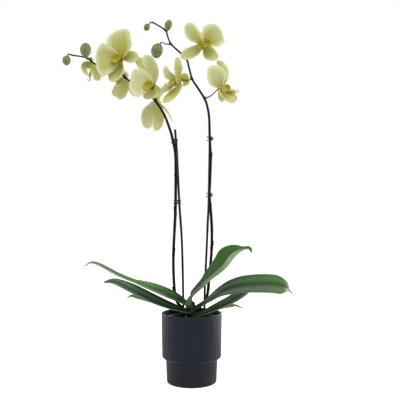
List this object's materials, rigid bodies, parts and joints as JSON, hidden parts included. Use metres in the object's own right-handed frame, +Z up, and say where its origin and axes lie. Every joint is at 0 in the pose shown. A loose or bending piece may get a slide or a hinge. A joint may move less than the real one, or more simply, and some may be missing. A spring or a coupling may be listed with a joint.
{
  "type": "potted orchid",
  "caption": "Moth orchid with arching flower spikes held to stakes by clips, strap leaves and a ribbed stepped cover pot; stands on a table or sill as decoration",
  "frame": {"origin": "centre of the cover pot's flat underside, on the surface it stands on", "axes": "+Z up along the pot's axis; -Y is the front, which most of the flowers face; +X to the right seen from the front"},
  "size_m": [0.4611, 0.1464, 0.7235],
  "materials": {
    "pot": "satin glaze, anthracite blue",
    "grow_pot": "matt black plastic",
    "bark": "rough bark chips",
    "crown": "satin green plant tissue",
    "leaf": "satin waxy leaf",
    "spike": "satin dark stem",
    "stake": "satin dyed stick",
    "clip": "dark plastic",
    "bud": "satin bud skin",
    "sepal": "soft pale yellow-green",
    "petal": "soft pale yellow-green",
    "lip": "satin mustard yellow"
  },
  "bodies": {
    "root": {"pot": "pot", "grow_pot": "grow_pot", "bark": "bark", "crown": "crown", "leaf_left_long": "leaf", "leaf_left_low": "leaf", "leaf_left_rear": "leaf", "leaf_upright": "leaf", "leaf_right_broad": "leaf", "leaf_right_low": "leaf", "leaf_right_rear": "leaf", "spike_left": "spike", "spike_right": "spike", "stake_left": "stake", "stake_right": "stake", "clip_left_low": "clip", "clip_left_high": "clip", "clip_right_low": "clip", "clip_right_high": "clip", "bud_left_inner": "bud", "bud_left_tip": "bud", "bud_right_lower": "bud", "bud_right_upper": "bud", "bud_right_tip": "bud", "sepals_left_a": "sepal", "petals_left_a": "petal", "lip_left_a": "lip", "sepals_left_b": "sepal", "petals_left_b": "petal", "lip_left_b": "lip", "sepals_left_c": "sepal", "petals_left_c": "petal", "lip_left_c": "lip", "sepals_left_d": "sepal", "petals_left_d": "petal", "lip_left_d": "lip", "sepals_left_e": "sepal", "petals_left_e": "petal", "lip_left_e": "lip", "sepals_right_a": "sepal", "petals_right_a": "petal", "lip_right_a": "lip", "sepals_right_b": "sepal", "petals_right_b": "petal", "lip_right_b": "lip", "sepals_right_c": "sepal", "petals_right_c": "petal", "lip_right_c": "lip"}
  },
  "joints": []
}
